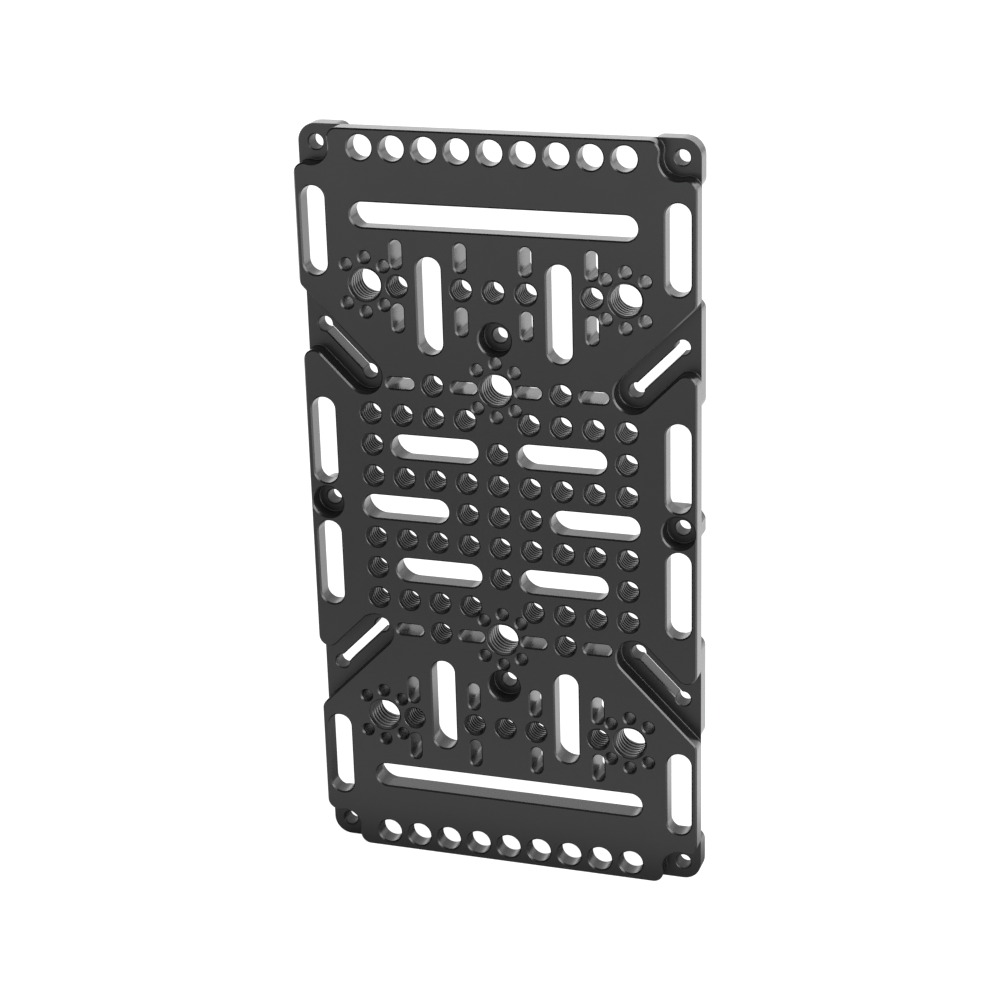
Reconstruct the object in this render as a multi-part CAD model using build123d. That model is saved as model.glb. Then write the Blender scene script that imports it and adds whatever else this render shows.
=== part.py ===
"""Camera cheese plate, milled from one slab of aluminium.

The plate stands upright on its lower edge: X runs across it, Z up it, and -Y is its front.
The origin is the middle of the foot of its box. Sizes are in millimetres.
"""
from build123d import *
from math import atan2, cos, degrees, radians, sin, sqrt
import os

# the slab, and the depths that its front and back are cut to
thickness = 9.8
pocket_depth = 4.7
rim_thickness = 5.0

# screws that fix the plate, measured from its centre
screw_across = 50.0
screw_up = 100.0
screw_diagonal = 37.5
screw_hole = 4.1
edge_beside_screw = 5.0

# the grid of threaded and locating holes
pitch = 9.0
quarter_inch_thread = 6.35
three_eighths_thread = 9.525
locating_hole = 3.2
locating_radius = 7.5

# locating slots: how far their middles stand from the thread beside them, and a pin's run
upright_offset = 8.7
upright_run = 4.6
inner_offset = 9.0
inner_run = 4.2
outer_offset = 9.2
outer_run = 4.8

# slots that a screw slides along: their width, and the run of the screw
slot_width = 6.8
recess_width = 10.4
long_slot_run = 72.0
tall_slot_up = 58.0
tall_slot_run = 20.0
short_slot_run = 18.0
outer_slot_up = 77.0
outer_slot_run = 17.6

# pockets in the front
pocket_round = 5.0
corner_round = 3.0
counterbore = 9.0
slit_width = 2.5

# reliefs in the back
relief_margin = 2.0
boss_radius = 5.3

# broken edges
edge_chamfer = 0.4
hole_chamfer = 0.4
back_chamfer = 0.25
screw_chamfer = 0.3
small_chamfer = 0.15
floor_fillet = 0.3

# worked out from the sizes above
half_width = screw_across + edge_beside_screw
half_height = screw_up + edge_beside_screw
long_slot_up = screw_up - 2 * pitch
margin = slot_width / 2 + relief_margin
overrun = 10.0
front = Plane(origin=(0, -thickness / 2, half_height), x_dir=(1, 0, 0), z_dir=(0, -1, 0))
QUARTERS = [(1, 1), (-1, 1), (-1, -1), (1, -1)]

# holes of one quarter of the plate, in steps of the grid
QUARTER_INCH = [(0, 0), (1, 0)]
QUARTER_INCH += [(x, 1) for x in range(5)]
QUARTER_INCH += [(0, 2), (4, 2)]
QUARTER_INCH += [(x, 3) for x in range(1, 5)]
QUARTER_INCH += [(2, 4), (0, 7), (1, 7), (3, 7)]
THREE_EIGHTHS = [(0, 4), (4, 7)]
LOCATING_ANGLES = [45, 90, 135, 225, 270, 315]


def on_grid(steps):
    """The points that steps of the grid name, with their images in both middle lines."""
    return mirrored([(pitch * x, pitch * y) for x, y in steps])


def mirrored(points):
    """The points with their images in both middle lines, each once."""
    return sorted({(a * x, b * y) for x, y in points for a, b in QUARTERS})


def in_quarter(shape, signs):
    """The shape mirrored into the quarter of the plate that the signs name."""
    across, up = signs
    if across < 0:
        shape = mirror(shape, Plane.YZ)
    if up < 0:
        shape = mirror(shape, Plane.XZ)
    return shape


def slab(face, top, bottom):
    """The face made solid between two depths below the front."""
    return extrude(Pos(0, 0, -bottom) * face, bottom - top)


def to_side(face):
    """The face run out over the side of the plate, its mouth there rounded."""
    face += Pos(half_width + overrun / 2, 0) * Rectangle(overrun, 4 * half_height)
    inner = [v for v in face.vertices() if abs(v.X - half_width) < 0.001 and abs(v.Y) < half_height]
    return fillet(inner, corner_round)


def to_top(face):
    """The face run out over the top of the plate, its mouth there rounded."""
    face += Pos(0, half_height + overrun / 2) * Rectangle(4 * half_width, overrun)
    inner = [v for v in face.vertices() if abs(v.Y - half_height) < 0.001 and abs(v.X) < half_width]
    return fillet(inner, corner_round)


def outline():
    """The outline of the plate, its corners round about the ears' screws."""
    return RectangleRounded(2 * half_width, 2 * half_height, edge_beside_screw)


def corner_pocket():
    """The corner round an ear's screw: a hollow about the hole that sweeps out to both edges."""
    inset = edge_beside_screw - corner_round
    swing = sqrt((pocket_round + corner_round) ** 2 - inset**2)
    tilt = degrees(atan2(inset, swing))
    top_x = screw_across - swing
    side_y = screw_up - swing
    wall = [
        CenterArc((top_x, half_height - corner_round), corner_round, -tilt, 90 + tilt),
        CenterArc((screw_across, screw_up), pocket_round, 180 - tilt, 90 + 2 * tilt),
        CenterArc((half_width - corner_round, side_y), corner_round, 0, 90 + tilt),
    ]
    outside = Polyline(
        (top_x, half_height),
        (top_x, half_height + overrun),
        (half_width + overrun, half_height + overrun),
        (half_width + overrun, side_y),
        (half_width, side_y),
    )
    return make_face(Wire(wall + outside.edges()))


def diagonal_pocket():
    """The channel from the inner diagonal screw out through the side of the plate."""
    run = 2 * (half_width - screw_diagonal) * sqrt(2)
    channel = Rot(0, 0, 45) * SlotCenterToCenter(run, 2 * pocket_round)
    return to_side(Pos(half_width, half_width) * channel)


def relief(across, up, half_run_across, half_run_up):
    """A rectangle about a point on the plate, with rounded corners."""
    return Pos(across, up) * RectangleRounded(2 * half_run_across, 2 * half_run_up, corner_round)


def back_outline():
    """The outline behind the rims: the whole plate less the reliefs in its edges."""
    row = to_top(relief(0, half_height, 4 * pitch + margin, edge_beside_screw + margin))
    outer = to_side(relief(half_width, outer_slot_up, edge_beside_screw + margin, pitch + margin))
    inner = to_side(relief(half_width, 0, edge_beside_screw + margin, 3 * pitch + margin))
    boss = SlotCenterToCenter(2 * screw_across, 2 * boss_radius)
    face = outline()
    for signs in QUARTERS:
        face -= in_quarter(outer, signs)
    for signs in ((1, 1), (-1, -1)):
        face -= in_quarter(row, signs)
        face -= in_quarter(inner - boss, signs)
    return face


def edges_at(part, depth):
    """The edges of a part that lie at one depth below the front."""
    return part.edges().filter_by_position(Axis.Z, -depth - 0.001, -depth + 0.001)


def front_layer():
    """The front of the plate down to the back of its rims, with the pockets cut into it."""
    layer = slab(outline(), 0, rim_thickness)
    for face in (corner_pocket(), diagonal_pocket()):
        tool = slab(face, -overrun, pocket_depth)
        wall = [e for e in edges_at(tool, pocket_depth) if e.center().X < half_width]
        tool = fillet(wall, floor_fillet)
        for signs in QUARTERS:
            layer -= in_quarter(tool, signs)
    layer = chamfer(edges_at(layer, 0), edge_chamfer)
    return layer


def back_layer():
    """The back of the plate, from the floors of the pockets."""
    layer = slab(back_outline(), pocket_depth, thickness)
    return chamfer(edges_at(layer, thickness), back_chamfer)


def footprint(width, run):
    """The shape of a round hole, or of a slot along X if it has a run."""
    return SlotCenterToCenter(run, width) if run else Circle(width / 2)


def flare(width, run, depth, size, way):
    """The tool that breaks an opening's edge: the way is -1 for a front edge, 1 for a back one."""
    inner = depth - way * size
    outer = depth + way * overrun
    tool = slab(footprint(width + 2 * size, run), min(inner, outer), max(inner, outer))
    return chamfer(edges_at(tool, inner), size)


def opening(width, run, top, bottom, top_size, bottom_size):
    """The tool for a hole or slot between two depths, with both its edges broken."""
    tool = slab(footprint(width, run), top - overrun, bottom + overrun)
    tool += flare(width, run, top, top_size, -1)
    return tool + flare(width, run, bottom, bottom_size, 1)


def at(points, tool, turn=0):
    """Copies of the tool at the points, turned about the depth of the plate."""
    return [Pos(x, y) * Rot(0, 0, turn) * tool for x, y in points]


def threaded_holes():
    """The tools for the two sizes of threaded hole, cut to the thread's major diameter."""
    quarter = opening(quarter_inch_thread, 0, 0, thickness, small_chamfer, small_chamfer)
    three_eighths = opening(three_eighths_thread, 0, 0, thickness, small_chamfer, small_chamfer)
    return at(on_grid(QUARTER_INCH), quarter) + at(on_grid(THREE_EIGHTHS), three_eighths)


def locating_holes():
    """The tools for the locating holes round each large thread, and for the locating slots."""
    ring = []
    for x, y in on_grid(THREE_EIGHTHS):
        for angle in LOCATING_ANGLES:
            a = radians(angle)
            ring.append((x + locating_radius * cos(a), y + locating_radius * sin(a)))
    tools = at(ring, opening(locating_hole, 0, 0, thickness, hole_chamfer, small_chamfer))
    columns = [pitch, 3 * pitch]
    slots = [
        ([(x, 7 * pitch + upright_offset) for x in columns], upright_run, 90),
        ([(x, 7 * pitch - upright_offset) for x in columns], upright_run, 90),
        ([(2 * pitch - inner_offset, 4 * pitch)], inner_run, 0),
        ([(2 * pitch + outer_offset, 4 * pitch)], outer_run, 0),
    ]
    for points, run, turn in slots:
        slot = opening(locating_hole, run, 0, thickness, hole_chamfer, small_chamfer)
        tools += at(mirrored(points), slot, turn)
    return tools


def screw_slots():
    """The tools for the rows of plain holes and for the slots, some recessed from the back."""
    row = mirrored([(pitch * x, screw_up) for x in range(5)])
    tools = at(row, opening(slot_width, 0, 0, rim_thickness, hole_chamfer, small_chamfer))
    recessed = [
        ([(0, long_slot_up)], long_slot_run, 0),
        ([(2 * pitch, tall_slot_up)], tall_slot_run, 90),
        ([(2 * pitch, 2 * pitch), (3 * pitch, 0)], short_slot_run, 0),
    ]
    for points, run, turn in recessed:
        slot = opening(slot_width, run, 0, rim_thickness, hole_chamfer, small_chamfer)
        recess = slab(footprint(recess_width, run), rim_thickness, thickness + overrun)
        recess += flare(recess_width, run, thickness, back_chamfer, 1)
        tools += at(mirrored(points), slot + recess, turn)
    for up, run in ((2 * pitch, short_slot_run), (outer_slot_up, outer_slot_run)):
        slot = opening(slot_width, run, 0, rim_thickness, hole_chamfer, small_chamfer)
        tools += at(mirrored([(screw_across, up)]), slot, 90)
    return tools


def fixing_holes():
    """The tools for the plain screw holes in the pockets' floors, with their counterbores."""
    screw = opening(screw_hole, 0, pocket_depth, thickness, screw_chamfer, small_chamfer)
    bore = slab(Circle(counterbore / 2), -overrun, pocket_depth)
    bore = fillet(edges_at(bore, pocket_depth), floor_fillet)
    bore += flare(counterbore, 0, 0, hole_chamfer, -1)
    slit_run = sqrt(2) * (screw_across - screw_diagonal)
    slit = opening(slit_width, slit_run, pocket_depth, thickness, screw_chamfer, small_chamfer)
    middle = (screw_across + screw_diagonal) / 2
    ends = [(screw_diagonal, screw_diagonal), (screw_across, screw_across)]
    tools = at(mirrored([(screw_across, screw_up)]), screw)
    tools += at(mirrored([(screw_across, 0), (0, screw_across)]), screw + bore)
    pair = Pos(middle, middle) * Rot(0, 0, 45) * slit
    for x, y in ends:
        pair += Pos(x, y) * screw
    return tools + [in_quarter(pair, signs) for signs in QUARTERS]


def plate():
    """The whole plate, standing upright on its lower edge."""
    part = front_layer() + back_layer()
    part -= screw_slots()
    part -= fixing_holes()
    part -= locating_holes()
    part -= threaded_holes()
    return front * part


os.makedirs("parts", exist_ok=True)
export_step(plate(), "parts/cheese_plate.step")
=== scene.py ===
"""Looks of the camera cheese plate: its anodised finish, the threads in its holes and the studio.

Lengths are in metres. The plate stands on the floor with its front towards -Y.
"""

import math

import bmesh
import bpy
from mathutils import Matrix, Vector


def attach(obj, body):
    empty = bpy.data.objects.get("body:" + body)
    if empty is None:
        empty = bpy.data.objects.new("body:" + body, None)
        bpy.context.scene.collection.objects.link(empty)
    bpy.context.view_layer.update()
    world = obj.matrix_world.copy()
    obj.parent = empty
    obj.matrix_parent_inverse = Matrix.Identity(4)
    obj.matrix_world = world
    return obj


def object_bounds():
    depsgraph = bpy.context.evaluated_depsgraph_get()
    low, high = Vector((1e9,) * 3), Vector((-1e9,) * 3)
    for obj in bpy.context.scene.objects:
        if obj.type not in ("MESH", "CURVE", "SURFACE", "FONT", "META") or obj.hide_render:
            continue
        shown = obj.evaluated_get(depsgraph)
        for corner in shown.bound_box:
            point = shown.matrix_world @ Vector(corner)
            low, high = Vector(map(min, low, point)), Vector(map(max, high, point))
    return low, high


bl_info = {
    "name": "Camera Cheese Plate",
    "version": (1, 0, 0),
    "blender": (4, 5, 0),
    "location": "View3D > Sidebar > Cheese Plate",
    "description": "Finishes a milled camera plate and cuts the threads in its holes",
    "category": "Object",
}

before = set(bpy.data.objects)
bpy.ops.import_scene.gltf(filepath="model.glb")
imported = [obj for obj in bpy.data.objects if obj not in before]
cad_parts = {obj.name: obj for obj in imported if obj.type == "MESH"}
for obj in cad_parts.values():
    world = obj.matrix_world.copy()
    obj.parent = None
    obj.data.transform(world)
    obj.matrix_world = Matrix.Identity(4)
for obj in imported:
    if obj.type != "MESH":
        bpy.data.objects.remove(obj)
CAD_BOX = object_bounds()

PLATE = "cheese_plate"
BODY = "root"
MIDDLE = (CAD_BOX[0] + CAD_BOX[1]) / 2

# Holes of one quarter of the plate, in steps of the hole grid from its centre.
QUARTER_INCH_HOLES = (
    [(0, 0), (1, 0)]
    + [(x, 1) for x in range(5)]
    + [(0, 2), (4, 2)]
    + [(x, 3) for x in range(1, 5)]
    + [(2, 4), (0, 7), (1, 7), (3, 7)]
)
THREE_EIGHTHS_HOLES = [(0, 4), (4, 7)]

# Screw holes of the same quarter, from its centre. They are taken as drilled and not reamed, so
# their walls are rough, and the rough finish ends between these two distances from their axes.
DRILLED_HOLES = [(0.05, 0.1), (0.0, 0.05), (0.05, 0.0), (0.05, 0.05), (0.0375, 0.0375)]
DRILLED_EDGE = (0.0022, 0.0023)

# A wall is cut and a flat is blasted: the finish turns from one to the other while the part of
# the normal that lies along Y grows from the first number to the second.
WALL_TO_FLAT = (0.9, 0.97)

# The noises of the finish, each with its lumps to a metre and its fineness. The dye goes from
# thin to deep over a range of its noise, as parts of the colour. The sheen's noise is added to
# the roughness, and the grain's is a relief, with its strength and its height in metres.
DYE_SCALE = 35.0
DYE_DETAIL = 3.0
DYE_RANGE = (0.35, 0.65)
THIN_DYE = 0.9
DEEP_DYE = 1.1
SHEEN_SCALE = 120.0
SHEEN_DETAIL = 4.0
SHEEN_SPREAD = 0.06
GRAIN_DETAIL = 2.0
GRAIN_STRENGTH = 0.12
GRAIN_HEIGHT = 0.00001

# A thread's form: how far its flanks rise for each step along the hole, which is that of a
# 60 degree thread, and how much of a pitch the flat of its groove takes.
FLANK_SLOPE = math.tan(math.radians(60))
GROOVE_FLAT = 0.125

# How far the groove stays clear of the bore, how far the plain outside of a thread's ring is sunk
# in the metal, and how far the edges of that outside stand back from the ring's ends.
GROOVE_CLEARANCE = 0.00002
RING_SINK = 0.0002
RING_INSET = 0.0003

# Points of a ring that are nearer than this are one point, edges that turn more than this are
# sharp, and the 3/8 in thread has this many more facets to a turn than the 1/4 in one.
WELD_DISTANCE = 0.000002
SHARP_ANGLE = math.radians(25)
LARGE_EXTRA_STEPS = 8

# The room as it looks in gloss. The white wall is behind the plate and is brightest a little
# above the floor, and the window is a soft patch of light above the front, to the left. A ramp of
# four numbers gives the range of its source, then the brightness at the start and at the end of
# that range. One of two numbers gives the range alone.
WALL_EDGE = (0.35, 0.65)
WALL_RISE = (0.0, 0.18, 0.8, 1.7)
WALL_FALL = (0.15, 0.45, 1.7, 0.6)
WALL_SIDE = (0.1, 0.42, 1.0, 0.6)
WINDOW_DIRECTION = (-0.32, -0.85, 0.42)
WINDOW_GLOW = (0.85, 0.95, 0.0, 0.6)

# The floor's painted glow, which only gloss sees, with ramps of the same kind over places on it.
# It glows behind a slanting line, at the far left and a good way before the plate, and has painted
# shade just before the plate and under it.
RIGHT_SLANT = 1.2
RIGHT_EDGE = (0.08, 0.13)
LEFT_EDGE = (-0.5, -0.38)
NEAR_FLOOR = (-0.25, -0.05, 0.17, 0.52)
FAR_FLOOR = (-0.74, -0.56, 1.5, 0.0)
BEFORE_PLATE = (-0.03, -0.01, 1.0, 0.0)

# The floor itself, from its middle to its edges, and its paper.
FLOOR_REACH = 3.0
FLOOR_SEGMENTS = 8
PAPER_ROUGHNESS = 0.9
PAPER_SHINE = 0.2

# The lamp, from the middle of the plate, with its width and height.
KEY_OFFSET = Vector((0.94, -0.5, 0.55))
KEY_SIZE = (0.55, 1.1)

# The camera, fitted to the photo's view: its place and the directions of its right and its top.
CAMERA_PLACE = Vector((0.204019, -0.601094, 0.340572))
CAMERA_RIGHT = Vector((0.94903594, 0.31406169, -0.02638236))
CAMERA_UP = Vector((-0.08444855, 0.33404762, 0.93876548))
SENSOR_WIDTH = 36.0
CLIP_START = 0.01
CLIP_END = 20.0

WHITE = (1.0, 1.0, 1.0, 1.0)

# How many nodes stand in a row of the node editor, and how far apart they are there.
NODES_IN_ROW = 8
NODE_WIDTH = 200
NODE_HEIGHT = 300


class PLATE_PG_finish(bpy.types.PropertyGroup):
    """The black anodised finish of the plate."""

    colour: bpy.props.FloatVectorProperty(
        name="Anodised colour",
        description="Colour of the dyed oxide on every face of the plate",
        subtype="COLOR",
        size=3,
        min=0.0,
        max=1.0,
        default=(0.012, 0.012, 0.0125),
    )
    roughness: bpy.props.FloatProperty(
        name="Roughness of the flats",
        description="How matt the front, the back and the pockets' floors are",
        subtype="FACTOR",
        min=0.0,
        max=1.0,
        default=0.38,
    )
    wall_roughness: bpy.props.FloatProperty(
        name="Roughness of the walls",
        description="How matt the cut walls of the edges, slots and holes are",
        subtype="FACTOR",
        min=0.0,
        max=1.0,
        default=0.24,
    )
    drilled_roughness: bpy.props.FloatProperty(
        name="Roughness of drilled walls",
        description="How matt the walls of the drilled screw holes are",
        subtype="FACTOR",
        min=0.0,
        max=1.0,
        default=0.5,
    )
    gloss_index: bpy.props.FloatProperty(
        name="Gloss index",
        description="Refractive index of the oxide, which sets how strongly it mirrors",
        min=1.0,
        default=1.7,
    )
    # Painted shade: the 1/4 in threads get a lower index than the rest of the plate, so they mirror
    # less and look darker, standing in for the shade deep in their fine grooves.
    shaded_thread_gloss_index: bpy.props.FloatProperty(
        name="Gloss index of small threads",
        description="Refractive index in the 1/4 in threads, which mirror less than milled faces",
        min=1.0,
        default=1.4,
    )
    grain_size: bpy.props.FloatProperty(
        name="Grain size",
        description="Size of the fine grain that blasting leaves in the metal",
        unit="LENGTH",
        min=0.00005,
        default=0.0003,
    )


class PLATE_PG_threads(bpy.types.PropertyGroup):
    """The threads that are tapped through the plate."""

    grid_step: bpy.props.FloatProperty(
        name="Grid step",
        description="Distance between neighbouring holes of the grid",
        unit="LENGTH",
        default=0.009,
    )
    small_pitch: bpy.props.FloatProperty(
        name="Small pitch",
        description="Distance between turns of the 1/4 in thread, 20 to the inch",
        unit="LENGTH",
        default=0.00127,
    )
    small_root: bpy.props.FloatProperty(
        name="Small root radius",
        description="Outer radius of the 1/4 in thread, at the bottom of its groove",
        unit="LENGTH",
        default=0.003175,
    )
    small_crest: bpy.props.FloatProperty(
        name="Small crest radius",
        description="Inner radius of the 1/4 in thread, at the top of its ridge",
        unit="LENGTH",
        default=0.00274,
    )
    large_pitch: bpy.props.FloatProperty(
        name="Large pitch",
        description="Distance between turns of the 3/8 in thread, 16 to the inch",
        unit="LENGTH",
        default=0.0015875,
    )
    large_root: bpy.props.FloatProperty(
        name="Large root radius",
        description="Outer radius of the 3/8 in thread, at the bottom of its groove",
        unit="LENGTH",
        default=0.0047625,
    )
    large_crest: bpy.props.FloatProperty(
        name="Large crest radius",
        description="Inner radius of the 3/8 in thread, at the top of its ridge",
        unit="LENGTH",
        default=0.00417,
    )
    lead_in: bpy.props.FloatProperty(
        name="Lead-in",
        description="Depth of the broken edge of a hole, below which its thread starts",
        unit="LENGTH",
        default=0.00015,
    )
    steps: bpy.props.IntProperty(
        name="Steps per turn",
        description="Facets round one turn of a thread",
        min=12,
        default=32,
    )


class PLATE_PG_studio(bpy.types.PropertyGroup):
    """The studio round the plate."""

    key_power: bpy.props.FloatProperty(
        name="Key lamp",
        description="Power of the soft lamp above and to the right of the camera",
        unit="POWER",
        min=0.0,
        default=9.4,
    )
    ambient: bpy.props.FloatProperty(
        name="Ambient level",
        description="Strength of the even light from the whole room",
        min=0.0,
        default=0.35,
    )
    shade: bpy.props.FloatProperty(
        name="Shade level",
        description="How bright the room beside and in front of the plate looks in its gloss",
        min=0.0,
        max=1.0,
        default=0.04,
    )
    glow: bpy.props.FloatProperty(
        name="Glow level",
        description="How bright the white wall and floor behind the plate look in its gloss",
        min=0.0,
        default=1.4,
    )
    floor_colour: bpy.props.FloatVectorProperty(
        name="Floor colour",
        description="Colour of the pale floor",
        subtype="COLOR",
        size=3,
        min=0.0,
        max=1.0,
        default=(0.45, 0.45, 0.45),
    )
    focal_length: bpy.props.FloatProperty(
        name="Focal length",
        description="Focal length of the camera on a sensor 36 mm wide, in millimetres",
        unit="CAMERA",
        default=89.428,
    )


def node(tree, kind, **settings):
    """A new node, beside those that its tree already has, with settings of the node itself."""
    row, column = divmod(len(tree.nodes), NODES_IN_ROW)
    made = tree.nodes.new(kind)
    made.location = (NODE_WIDTH * (column - NODES_IN_ROW), -NODE_HEIGHT * row)
    for name, value in settings.items():
        setattr(made, name, value)
    return made


def feed(tree, value, socket):
    """Link another node's output to a socket, or set the socket to a plain number."""
    if isinstance(value, bpy.types.NodeSocket):
        tree.links.new(value, socket)
    else:
        socket.default_value = value


def ramp(tree, source, low, high, start, end):
    """A value that runs from start to end while a source runs from low to high."""
    step = node(tree, "ShaderNodeMapRange")
    feed(tree, source, step.inputs["Value"])
    feed(tree, low, step.inputs["From Min"])
    feed(tree, high, step.inputs["From Max"])
    feed(tree, start, step.inputs["To Min"])
    feed(tree, end, step.inputs["To Max"])
    return step.outputs["Result"]


def calculate(tree, operation, *values):
    """The outcome of one operation on values, each a number or another node's output."""
    made = node(tree, "ShaderNodeMath", operation=operation)
    for value, socket in zip(values, made.inputs):
        feed(tree, value, socket)
    return made.outputs[0]


def pick(tree, chooser, otherwise, chosen):
    """The chosen value where the chooser is 1, and the other one where it is 0."""
    mix = node(tree, "ShaderNodeMix")
    feed(tree, chooser, mix.inputs["Factor"])
    feed(tree, otherwise, mix.inputs["A"])
    feed(tree, chosen, mix.inputs["B"])
    return mix.outputs["Result"]


def axes_of(tree, vector):
    """The parts of a vector along X, Y and Z, by those names."""
    split = node(tree, "ShaderNodeSeparateXYZ")
    feed(tree, vector, split.inputs[0])
    return split.outputs


def measure(tree, operation, vector, other):
    """One number that a vector and a fixed one give, such as their distance."""
    made = node(tree, "ShaderNodeVectorMath", operation=operation)
    feed(tree, vector, made.inputs[0])
    feed(tree, other, made.inputs[1])
    return made.outputs["Value"]


def noise(tree, spot, scale, detail):
    """Even noise over the places in a piece."""
    made = node(tree, "ShaderNodeTexNoise")
    feed(tree, spot, made.inputs["Vector"])
    feed(tree, scale, made.inputs["Scale"])
    feed(tree, detail, made.inputs["Detail"])
    return made.outputs["Fac"]


def near_drilled_holes(tree, spot):
    """A value that is 1 in the screw holes of all four quarters of the plate, and 0 elsewhere."""
    axes = axes_of(tree, spot)
    folded = node(tree, "ShaderNodeCombineXYZ")
    for name, middle in (("X", MIDDLE.x), ("Z", MIDDLE.z)):
        shifted = calculate(tree, "SUBTRACT", axes[name], middle)
        feed(tree, calculate(tree, "ABSOLUTE", shifted), folded.inputs[name])

    nearest = None
    for x, z in DRILLED_HOLES:
        away = measure(tree, "DISTANCE", folded.outputs[0], (x, 0.0, z))
        nearest = away if nearest is None else calculate(tree, "MINIMUM", nearest, away)
    return ramp(tree, nearest, *DRILLED_EDGE, 1.0, 0.0)


def anodised_metal(name, finish, gloss_index):
    """Black anodised aluminium: a dyed oxide on blasted metal, uneven in depth and in gloss."""
    metal = bpy.data.materials.new(name)
    metal.use_nodes = True
    tree = metal.node_tree
    shader = tree.nodes["Principled BSDF"]
    place = node(tree, "ShaderNodeTexCoord")
    spot = place.outputs["Object"]

    depth = node(tree, "ShaderNodeValToRGB")
    thin, deep = depth.color_ramp.elements
    thin.position, deep.position = DYE_RANGE
    thin.color = [THIN_DYE * c for c in finish.colour] + [1.0]
    deep.color = [DEEP_DYE * c for c in finish.colour] + [1.0]
    feed(tree, noise(tree, spot, DYE_SCALE, DYE_DETAIL), depth.inputs["Fac"])
    feed(tree, depth.outputs["Color"], shader.inputs["Base Color"])

    flatness = calculate(tree, "ABSOLUTE", axes_of(tree, place.outputs["Normal"])["Y"])
    cut = ramp(tree, flatness, *WALL_TO_FLAT, finish.wall_roughness, finish.roughness)
    matt = pick(tree, near_drilled_holes(tree, spot), cut, finish.drilled_roughness)
    sheen = noise(tree, spot, SHEEN_SCALE, SHEEN_DETAIL)
    uneven = calculate(tree, "MULTIPLY_ADD", sheen, SHEEN_SPREAD, matt)
    feed(tree, uneven, shader.inputs["Roughness"])

    bump = node(tree, "ShaderNodeBump")
    feed(tree, GRAIN_STRENGTH, bump.inputs["Strength"])
    feed(tree, GRAIN_HEIGHT, bump.inputs["Distance"])
    feed(tree, noise(tree, spot, 1.0 / finish.grain_size, GRAIN_DETAIL), bump.inputs["Height"])
    feed(tree, bump.outputs["Normal"], shader.inputs["Normal"])

    feed(tree, gloss_index, shader.inputs["IOR"])
    return metal


def thread_wall(root, crest, pitch, depth, steps):
    """Vertices and faces of one tapped hole's ridged wall, about Y, from its start to a depth.

    The wall is a closed ring: its ridged inside shows, and its plain outside is sunk in the plate.
    Both ends of it are cut back at the slope of its flanks.
    """
    groove = root - GROOVE_CLEARANCE
    sunk = root + RING_SINK
    flank = (groove - crest) / FLANK_SLOPE / pitch
    profile = [
        (0.0, crest),
        (1.0 - GROOVE_FLAT - 2 * flank, crest),
        (1.0 - GROOVE_FLAT - flank, groove),
        (1.0 - flank, groove),
    ]
    turns = math.ceil(depth / pitch)
    levels = []
    for turn in range(-1, turns + 1):
        for along, radius in profile:
            levels.append(((turn + along) * pitch, radius))

    verts = []
    for step in range(steps):
        angle = 2 * math.pi * step / steps
        ahead = pitch * step / steps
        column = []
        for level, radius in levels:
            y = min(max(level + ahead, 0.0), depth)
            cone = groove - FLANK_SLOPE * min(y, depth - y)
            column.append((max(radius, cone), y))
        column.append((sunk, depth - RING_INSET))
        column.append((sunk, RING_INSET))
        for radius, y in column:
            verts.append((radius * math.cos(angle), y, -radius * math.sin(angle)))

    count = len(levels)
    last = count - 1
    tall = count + 2
    faces = []
    for step in range(steps):
        here = step * tall
        there = (step + 1) % steps * tall
        shift = 0 if step + 1 < steps else len(profile)
        for row in range(last - shift):
            beside = there + row + shift
            faces.append((here + row, here + row + 1, beside + 1, beside))
        faces.append((here + last, here + count, there + count, there + last))
        faces.append((here + count, here + count + 1, there + count + 1, there + count))
        faces.append((here + count + 1, here, there, there + count + 1))
    return verts, faces


def make_threads(name, holes, start_depth, wall, metal):
    """One object with the ridged walls of all holes of one size, from a depth below the front."""
    wall_verts, wall_faces = wall
    single = bpy.data.meshes.new(name + "_single")
    single.from_pydata(wall_verts, [], wall_faces)
    shape = bmesh.new()
    shape.from_mesh(single)
    bmesh.ops.remove_doubles(shape, verts=shape.verts, dist=WELD_DISTANCE)
    bmesh.ops.dissolve_degenerate(shape, edges=shape.edges, dist=WELD_DISTANCE)
    bmesh.ops.recalc_face_normals(shape, faces=shape.faces)
    shape.to_mesh(single)
    shape.free()

    verts = [v.co.copy() for v in single.vertices]
    faces = [tuple(p.vertices) for p in single.polygons]
    bpy.data.meshes.remove(single)
    all_verts = []
    all_faces = []
    for x, z in holes:
        start = len(all_verts)
        mouth = Vector((MIDDLE.x + x, CAD_BOX[0].y + start_depth, MIDDLE.z + z))
        all_verts.extend(mouth + v for v in verts)
        all_faces.extend(tuple(start + i for i in face) for face in faces)
    mesh = bpy.data.meshes.new(name)
    mesh.from_pydata(all_verts, [], all_faces)
    mesh.shade_smooth()
    mesh.set_sharp_from_angle(angle=SHARP_ANGLE)
    mesh.materials.append(metal)
    piece = bpy.data.objects.new(name, mesh)
    bpy.context.collection.objects.link(piece)
    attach(piece, BODY)


def grid_holes(steps, grid_step):
    """The holes that grid steps name, with their images in both middle lines of the plate."""
    signs = [(1, 1), (-1, 1), (-1, -1), (1, -1)]
    return sorted({(a * x * grid_step, b * y * grid_step) for x, y in steps for a, b in signs})


def soft_lamp(name, place, aim, size, power):
    """A lamp of a width and a height at a place, turned towards an aim."""
    light = bpy.data.lights.new(name, "AREA")
    light.shape = "RECTANGLE"
    light.size, light.size_y = size
    light.energy = power
    lamp = bpy.data.objects.new(name, light)
    lamp.location = place
    lamp.rotation_euler = (aim - place).to_track_quat("-Z", "Y").to_euler()
    bpy.context.collection.objects.link(lamp)


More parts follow.
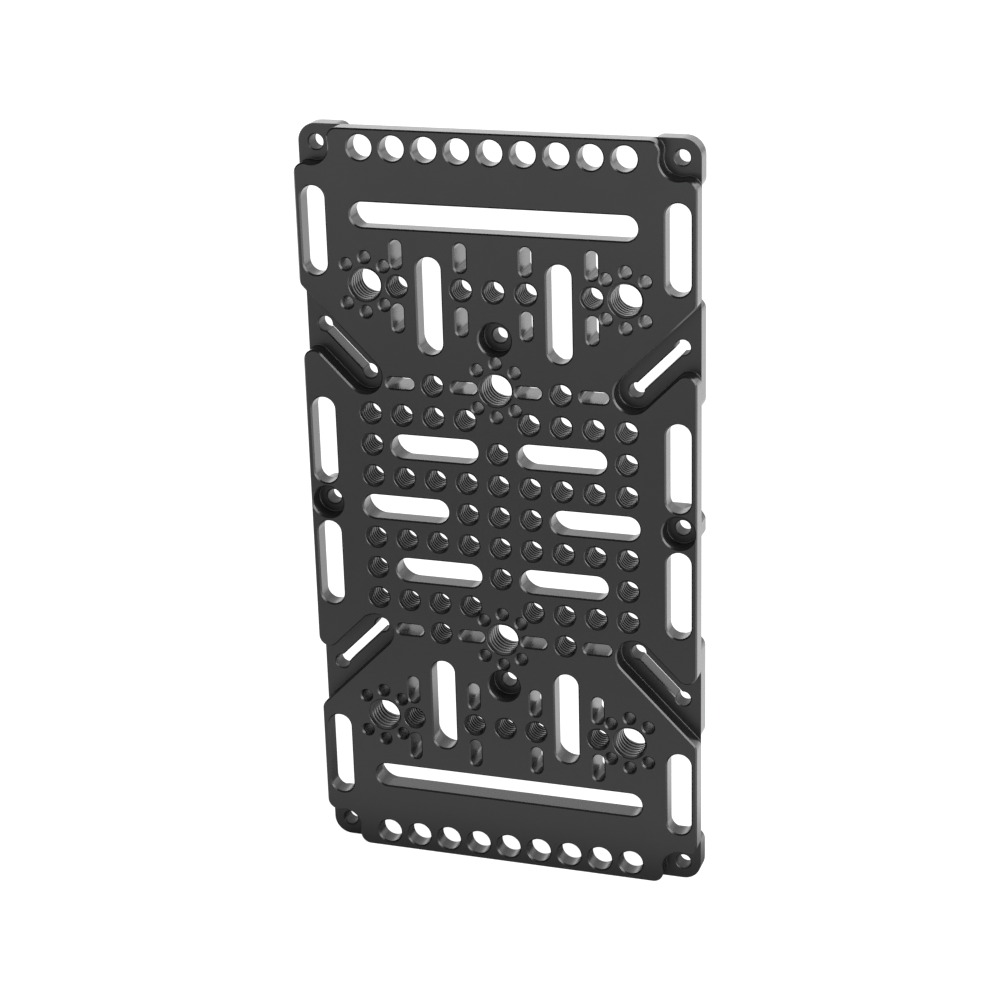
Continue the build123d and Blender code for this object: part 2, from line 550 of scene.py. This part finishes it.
def white_to_camera(tree, otherwise, in_gloss):
    """A strength that is white to the camera, one value in gloss and another to all other light."""
    path = node(tree, "ShaderNodeLightPath")
    glossy = path.outputs["Is Glossy Ray"]
    clear = path.outputs["Is Transmission Ray"]
    strength = pick(tree, calculate(tree, "MAXIMUM", glossy, clear), otherwise, in_gloss)
    return pick(tree, path.outputs["Is Camera Ray"], strength, 1.0)


def light_room(level, shade, glow):
    """An even room that lights the plate softly, with a white wall behind the plate in gloss."""
    world = bpy.data.worlds.new("white_room")
    bpy.context.scene.world = world
    world.use_nodes = True
    tree = world.node_tree
    room = tree.nodes["Background"]
    room.inputs["Color"].default_value = WHITE
    direction = node(tree, "ShaderNodeTexCoord").outputs["Generated"]
    axes = axes_of(tree, direction)
    wall = ramp(tree, axes["Y"], *WALL_EDGE, shade, glow)
    rise = ramp(tree, axes["Z"], *WALL_RISE)
    fall = ramp(tree, axes["Z"], *WALL_FALL)
    side = ramp(tree, axes["X"], *WALL_SIDE)
    band = calculate(tree, "MINIMUM", rise, fall)
    seen = calculate(tree, "MULTIPLY", wall, calculate(tree, "MULTIPLY", band, side))
    facing = measure(tree, "DOT_PRODUCT", direction, WINDOW_DIRECTION)
    window = ramp(tree, facing, *WINDOW_GLOW)
    total = calculate(tree, "ADD", seen, window)
    feed(tree, white_to_camera(tree, level, total), room.inputs["Strength"])


def white_paper(colour, shade, glow):
    """Pale paper that looks white to the camera; in gloss it has bright parts of painted glow and
    dark parts of painted shade.
    """
    paper = bpy.data.materials.new("white_paper")
    paper.use_nodes = True
    tree = paper.node_tree
    shader = tree.nodes["Principled BSDF"]
    shader.inputs["Base Color"].default_value = (*colour, 1.0)
    shader.inputs["Roughness"].default_value = PAPER_ROUGHNESS
    shader.inputs["Specular IOR Level"].default_value = PAPER_SHINE
    shader.inputs["Emission Color"].default_value = WHITE
    axes = axes_of(tree, node(tree, "ShaderNodeTexCoord").outputs["Object"])
    # Painted glow: the emission below lights the plate's reflections only, in patches over the
    # floor.
    slant = calculate(tree, "MULTIPLY_ADD", axes["X"], RIGHT_SLANT, axes["Y"])
    right = ramp(tree, slant, *RIGHT_EDGE, shade, glow)
    left = ramp(tree, axes["X"], *LEFT_EDGE, glow, 0.0)
    behind = calculate(tree, "MAXIMUM", right, left)
    near = ramp(tree, axes["Y"], *NEAR_FLOOR)
    far = ramp(tree, axes["Y"], *FAR_FLOOR)
    # Painted shade: just before the plate and under it, gloss sees the floor only at the shade
    # level.
    before = ramp(tree, axes["Y"], *BEFORE_PLATE)
    front = pick(tree, before, shade, calculate(tree, "MAXIMUM", near, far))
    painted_glow_and_shade = calculate(tree, "MAXIMUM", behind, front)
    feed(tree, white_to_camera(tree, 0.0, painted_glow_and_shade), shader.inputs["Emission Strength"])
    return paper


def make_floor(paper):
    """A wide floor of paper under the plate, which keeps a soft shadow."""
    mesh = bpy.data.meshes.new("floor")
    shape = bmesh.new()
    bmesh.ops.create_grid(
        shape, x_segments=FLOOR_SEGMENTS, y_segments=FLOOR_SEGMENTS, size=FLOOR_REACH
    )
    shape.to_mesh(mesh)
    shape.free()
    mesh.materials.append(paper)
    floor = bpy.data.objects.new("floor", mesh)
    floor.location = (0.0, 0.0, CAD_BOX[0].z)
    bpy.context.collection.objects.link(floor)


def make_camera(focal_length):
    """The camera, to the right of the plate and looking down on its front."""
    view = bpy.data.cameras.new("camera")
    view.sensor_width = SENSOR_WIDTH
    view.lens = focal_length
    view.clip_start = CLIP_START
    view.clip_end = CLIP_END
    camera = bpy.data.objects.new("camera", view)
    back = CAMERA_RIGHT.cross(CAMERA_UP)
    turn = Matrix((CAMERA_RIGHT, CAMERA_UP, back)).transposed()
    camera.matrix_world = Matrix.Translation(CAMERA_PLACE) @ turn.to_4x4()
    bpy.context.collection.objects.link(camera)
    bpy.context.scene.camera = camera


class PLATE_OT_finish(bpy.types.Operator):
    """Give the milled plate its black anodised finish"""

    bl_idname = "plate.finish"
    bl_label = "Anodise Plate"

    def execute(self, context):
        finish = context.scene.plate_finish
        metal = anodised_metal("black_anodised_aluminium", finish, finish.gloss_index)
        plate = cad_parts[PLATE]
        for slot in plate.material_slots:
            slot.material = metal
        return {"FINISHED"}


class PLATE_OT_threads(bpy.types.Operator):
    """Cut the threads in the tapped holes of the plate"""

    bl_idname = "plate.threads"
    bl_label = "Tap Holes"

    def execute(self, context):
        sizes = context.scene.plate_threads
        finish = context.scene.plate_finish
        metal = bpy.data.materials["black_anodised_aluminium"]
        # Painted shade: the 1/4 in threads get a darker copy of the metal, with a lower gloss
        # index, for the shade in their fine grooves.
        painted_shade_metal = anodised_metal(
            "black_anodised_small_threads", finish, finish.shaded_thread_gloss_index
        )
        depth = CAD_BOX[1].y - CAD_BOX[0].y - 2 * sizes.lead_in

        small = thread_wall(
            sizes.small_root, sizes.small_crest, sizes.small_pitch, depth, sizes.steps
        )
        holes = grid_holes(QUARTER_INCH_HOLES, sizes.grid_step)
        make_threads("quarter_inch_threads", holes, sizes.lead_in, small, painted_shade_metal)

        steps = sizes.steps + LARGE_EXTRA_STEPS
        large = thread_wall(sizes.large_root, sizes.large_crest, sizes.large_pitch, depth, steps)
        holes = grid_holes(THREE_EIGHTHS_HOLES, sizes.grid_step)
        make_threads("three_eighths_threads", holes, sizes.lead_in, large, metal)
        return {"FINISHED"}


class PLATE_OT_studio(bpy.types.Operator):
    """Set up the room, the floor, the lamp and the camera"""

    bl_idname = "plate.studio"
    bl_label = "Set Up Studio"

    def execute(self, context):
        studio = context.scene.plate_studio
        context.scene.view_settings.view_transform = "Standard"
        light_room(studio.ambient, studio.shade, studio.glow)
        make_floor(white_paper(studio.floor_colour, studio.shade, studio.glow))
        soft_lamp("key_lamp", MIDDLE + KEY_OFFSET, MIDDLE, KEY_SIZE, studio.key_power)
        make_camera(studio.focal_length)
        return {"FINISHED"}


class PLATE_PT_panel(bpy.types.Panel):
    """The plate's pieces and their sizes"""

    bl_idname = "PLATE_PT_panel"
    bl_label = "Camera Cheese Plate"
    bl_space_type = "VIEW_3D"
    bl_region_type = "UI"
    bl_category = "Cheese Plate"

    def draw(self, context):
        rows = [
            (PLATE_OT_finish, context.scene.plate_finish),
            (PLATE_OT_threads, context.scene.plate_threads),
            (PLATE_OT_studio, context.scene.plate_studio),
        ]
        for operator, group in rows:
            box = self.layout.box()
            for name in group.__class__.__annotations__:
                box.prop(group, name)
            box.operator(operator.bl_idname)


CLASSES = (
    PLATE_PG_finish,
    PLATE_PG_threads,
    PLATE_PG_studio,
    PLATE_OT_finish,
    PLATE_OT_threads,
    PLATE_OT_studio,
    PLATE_PT_panel,
)


def register():
    for cls in CLASSES:
        bpy.utils.register_class(cls)
    bpy.types.Scene.plate_finish = bpy.props.PointerProperty(type=PLATE_PG_finish)
    bpy.types.Scene.plate_threads = bpy.props.PointerProperty(type=PLATE_PG_threads)
    bpy.types.Scene.plate_studio = bpy.props.PointerProperty(type=PLATE_PG_studio)


def unregister():
    del bpy.types.Scene.plate_studio
    del bpy.types.Scene.plate_threads
    del bpy.types.Scene.plate_finish
    for cls in reversed(CLASSES):
        bpy.utils.unregister_class(cls)


def main():
    register()
    bpy.ops.plate.finish()
    bpy.ops.plate.threads()
    bpy.ops.plate.studio()


if __name__ == "__main__":
    main()
